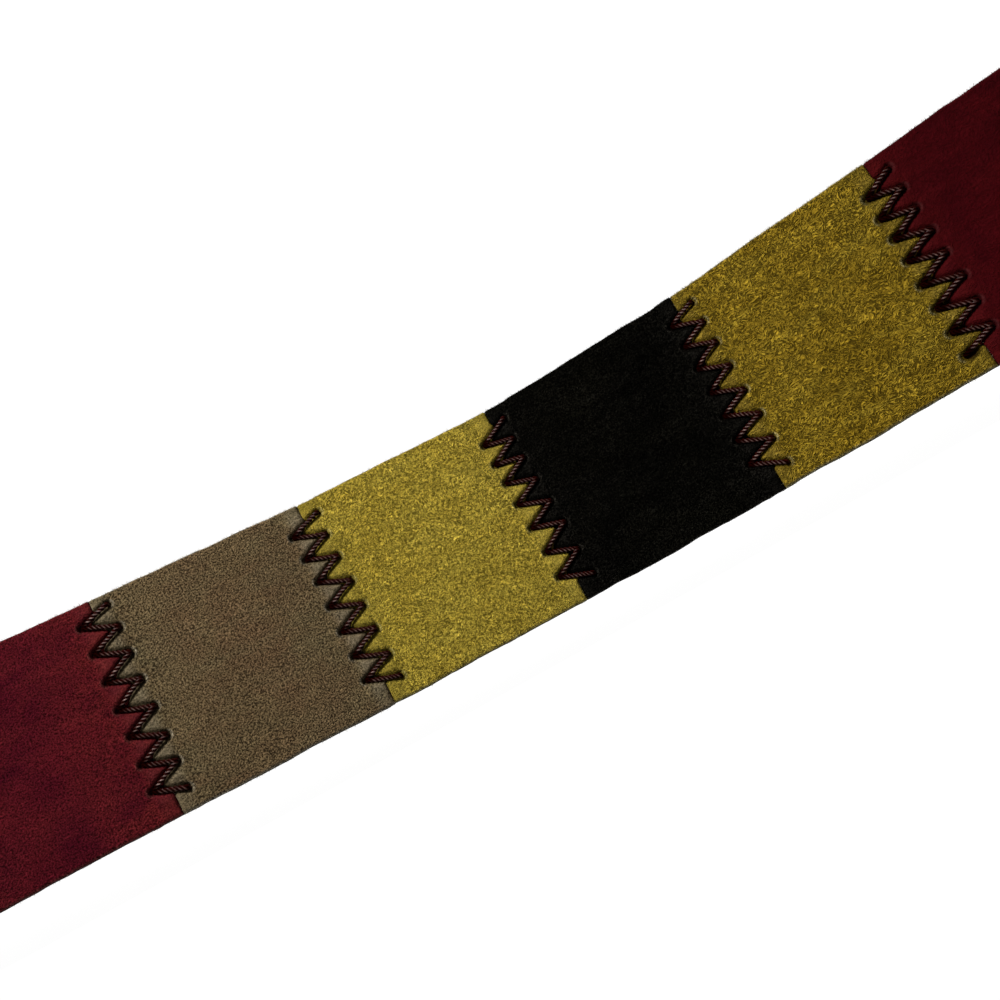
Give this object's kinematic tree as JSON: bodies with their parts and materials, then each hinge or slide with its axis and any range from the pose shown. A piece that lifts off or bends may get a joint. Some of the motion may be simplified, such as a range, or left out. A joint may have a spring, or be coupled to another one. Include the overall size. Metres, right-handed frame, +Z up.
{
  "type": "guitar strap",
  "caption": "Patchwork suede guitar strap of butt-joined patches with zigzag cord seams, leather keyhole end tabs, wire ring and a webbing length slider; stands on its long edge.",
  "frame": {"origin": "middle of the black centre patch's lower long edge, where its suede face meets its lining", "axes": "+X along the black patch towards the strap's front end, +Z up across the strap's width, the black patch's suede face looks along -Y"},
  "size_m": [0.6599, 0.4245, 0.0508],
  "materials": {
    "black_suede": "napped suede",
    "lining_leather": "smooth, dull",
    "mustard_suede": "napped suede",
    "nickel_wire": "nickel plated, satin",
    "ochre_suede": "long-nap suede",
    "red_suede": "napped suede",
    "rivet_metal": "antique, worn",
    "seam_cord": "twisted waxed cord",
    "tab_leather": "smooth, waxed",
    "taupe_suede": "napped suede",
    "webbing": "ribbed weave"
  },
  "bodies": {
    "patch_01": {"patch_01_mustard": "mustard_suede", "lining_01": "lining_leather", "seam_cord_01": "seam_cord"},
    "patch_02": {"patch_02_black": "black_suede", "lining_02": "lining_leather", "seam_cord_02": "seam_cord"},
    "patch_03": {"patch_03_ochre": "ochre_suede", "lining_03": "lining_leather", "seam_cord_03": "seam_cord"},
    "patch_04": {"patch_04_red": "red_suede", "lining_04": "lining_leather", "seam_cord_04": "seam_cord"},
    "patch_05": {"patch_05_taupe": "taupe_suede", "lining_05": "lining_leather", "seam_cord_05": "seam_cord"},
    "patch_06": {"patch_06_mustard": "mustard_suede", "lining_06": "lining_leather", "seam_cord_06": "seam_cord"},
    "patch_07": {"patch_07_black": "black_suede", "lining_07": "lining_leather", "seam_cord_07": "seam_cord", "seam_cord_08": "seam_cord"},
    "patch_08": {"patch_08_ochre": "ochre_suede", "lining_08": "lining_leather", "seam_cord_09": "seam_cord"},
    "patch_09": {"patch_09_red": "red_suede", "lining_09": "lining_leather", "seam_cord_10": "seam_cord"},
    "patch_10": {"patch_10_taupe": "taupe_suede", "lining_10": "lining_leather", "seam_cord_11": "seam_cord"},
    "patch_11": {"patch_11_mustard": "mustard_suede", "lining_11": "lining_leather", "seam_cord_12": "seam_cord"},
    "patch_12": {"patch_12_black": "black_suede", "lining_12": "lining_leather", "seam_cord_13": "seam_cord"},
    "front_tab": {"front_end_tab": "tab_leather"},
    "ring_loop": {"ring_loop_tab": "tab_leather", "loop_rivets": "rivet_metal"},
    "ring": {"wire_ring": "nickel_wire"},
    "webbing": {"webbing_tail": "webbing"},
    "slider": {"slider": "nickel_wire"},
    "rear_tab": {"rear_end_tab": "tab_leather", "tab_rivets": "rivet_metal"}
  },
  "joints": [
    {"name": "seam_07_bend", "type": "hinge", "parent": "patch_07", "child": "patch_06", "pos_m": [0.025, 0, 0.0254], "axis": [0, 0, -1], "range_deg": [-42, 2], "deforming": ["seam_cord_07"]},
    {"name": "seam_06_bend", "type": "hinge", "parent": "patch_06", "child": "patch_05", "pos_m": [0.07198, -0.0171, 0.0254], "axis": [0, 0, -1], "range_deg": [-29, 15], "deforming": ["seam_cord_06"]},
    {"name": "seam_05_bend", "type": "hinge", "parent": "patch_05", "child": "patch_04", "pos_m": [0.11653, -0.0398, 0.0254], "axis": [0, 0, -1], "range_deg": [-22, 22], "deforming": ["seam_cord_05"]},
    {"name": "seam_04_bend", "type": "hinge", "parent": "patch_04", "child": "patch_03", "pos_m": [0.16109, -0.0625, 0.0254], "axis": [0, 0, -1], "range_deg": [-2, 42], "deforming": ["seam_cord_04"]},
    {"name": "seam_03_bend", "type": "hinge", "parent": "patch_03", "child": "patch_02", "pos_m": [0.21071, -0.06859, 0.0254], "axis": [0, 0, -1], "range_deg": [-2, 42], "deforming": ["seam_cord_03"]},
    {"name": "seam_02_bend", "type": "hinge", "parent": "patch_02", "child": "patch_01", "pos_m": [0.25943, -0.05735, 0.0254], "axis": [0, 0, -1], "range_deg": [-2, 42], "deforming": ["seam_cord_02"]},
    {"name": "seam_01_bend", "type": "hinge", "parent": "patch_01", "child": "front_tab", "pos_m": [0.30136, -0.03011, 0.0254], "axis": [0, 0, -1], "range_deg": [-2, 42], "deforming": ["seam_cord_01"]},
    {"name": "seam_08_bend", "type": "hinge", "parent": "patch_07", "child": "patch_08", "pos_m": [-0.025, 0, 0.0254], "axis": [0, 0, 1], "range_deg": [-33, 11], "deforming": ["seam_cord_08"]},
    {"name": "seam_09_bend", "type": "hinge", "parent": "patch_08", "child": "patch_09", "pos_m": [-0.07408, -0.00954, 0.0254], "axis": [0, 0, 1], "range_deg": [-23, 21], "deforming": ["seam_cord_09"]},
    {"name": "seam_10_bend", "type": "hinge", "parent": "patch_09", "child": "patch_10", "pos_m": [-0.12299, -0.01994, 0.0254], "axis": [0, 0, 1], "range_deg": [-2, 42], "deforming": ["seam_cord_10"]},
    {"name": "seam_11_bend", "type": "hinge", "parent": "patch_10", "child": "patch_11", "pos_m": [-0.1725, -0.01298, 0.0254], "axis": [0, 0, 1], "range_deg": [-2, 42], "deforming": ["seam_cord_11"]},
    {"name": "seam_12_bend", "type": "hinge", "parent": "patch_11", "child": "patch_12", "pos_m": [-0.21665, 0.0105, 0.0254], "axis": [0, 0, 1], "range_deg": [-4, 40], "deforming": ["seam_cord_12"]},
    {"name": "seam_13_bend", "type": "hinge", "parent": "patch_12", "child": "ring_loop", "pos_m": [-0.25138, 0.04646, 0.0254], "axis": [0, 0, 1], "range_deg": [-6, 38], "deforming": ["seam_cord_13"]},
    {"name": "ring_swing", "type": "hinge", "parent": "ring_loop", "child": "ring", "pos_m": [-0.26743, 0.07644, 0.0254], "axis": [0, 0, -1], "range_deg": [-80, 40]},
    {"name": "webbing_swing", "type": "hinge", "parent": "ring", "child": "webbing", "pos_m": [-0.26994, 0.09426, 0.0254], "axis": [0, 0, -1], "range_deg": [-35, 35]},
    {"name": "slider_slide", "type": "slide", "parent": "webbing", "child": "slider", "axis": [-0.1392, 0.9903, 0], "range_m": [-0.065, 0.02], "deforming": ["webbing_tail"]},
    {"name": "rear_tab_slide", "type": "slide", "parent": "slider", "child": "rear_tab", "axis": [-0.1392, 0.9903, 0], "range_m": [-0.04, 0.13], "deforming": ["webbing_tail"]}
  ],
  "couplings": [
    {"joint": "rear_tab_slide", "follows": "slider_slide", "ratio": -2}
  ]
}
